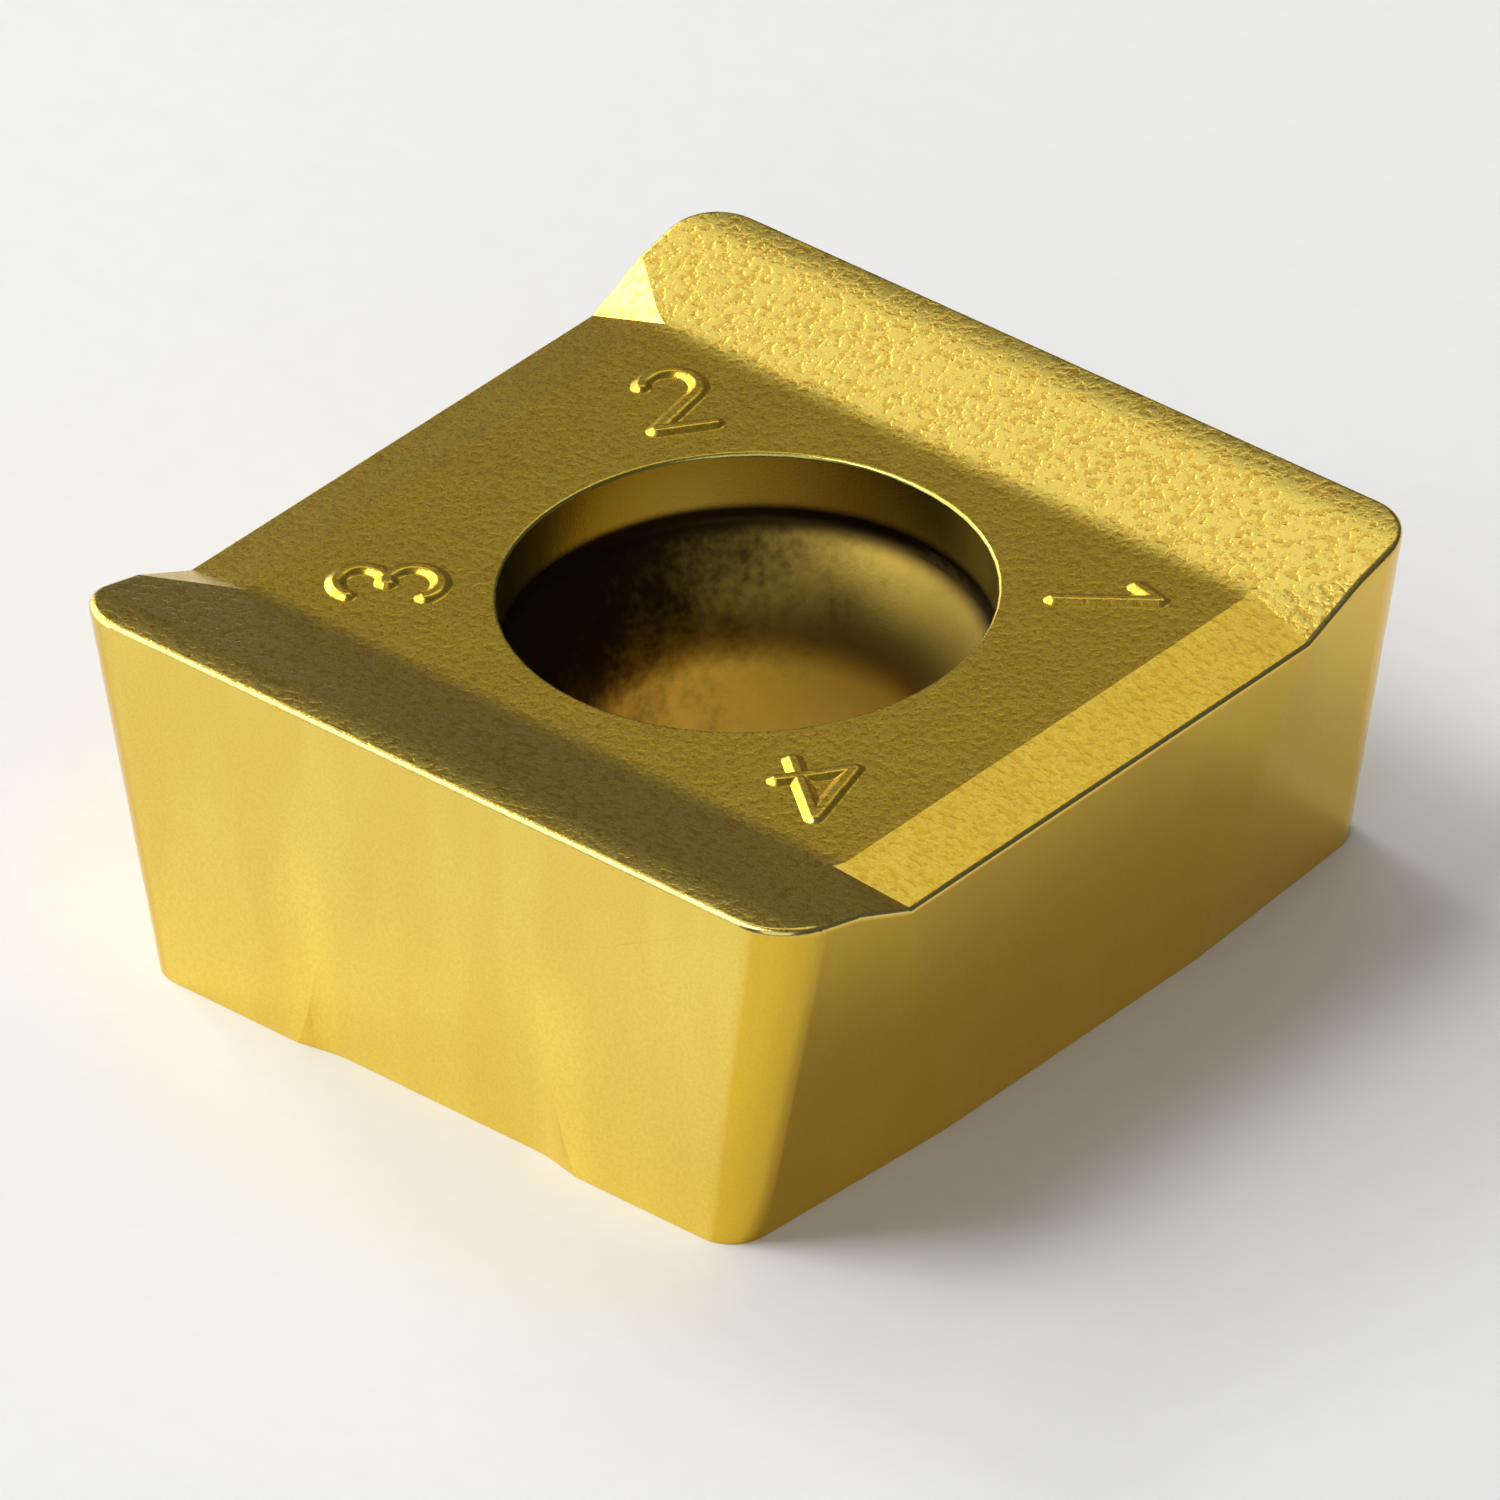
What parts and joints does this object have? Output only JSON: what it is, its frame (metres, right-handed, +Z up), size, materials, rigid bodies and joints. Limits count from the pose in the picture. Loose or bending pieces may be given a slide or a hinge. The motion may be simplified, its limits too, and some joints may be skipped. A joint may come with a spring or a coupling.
{
  "type": "carbide insert",
  "caption": "Indexable carbide milling insert with raised main cutting edges, falling side edges, relieved flanks and a screw hole with a rounded seat, under a gold-coloured coating.",
  "frame": {"origin": "where the axis of the screw hole meets the seating face, at the centre of the base", "axes": "+Z up from the seating face along the screw hole to the chip face; X along the two main cutting edges; Y from one main cutting edge to the other"},
  "size_m": [0.0118, 0.012, 0.005],
  "materials": {
    "coated_carbide": "gold-coloured nitride coating, satin, slightly pebbled on the pressed chip face"
  },
  "bodies": {
    "root": {"insert_body": "coated_carbide"}
  },
  "joints": []
}
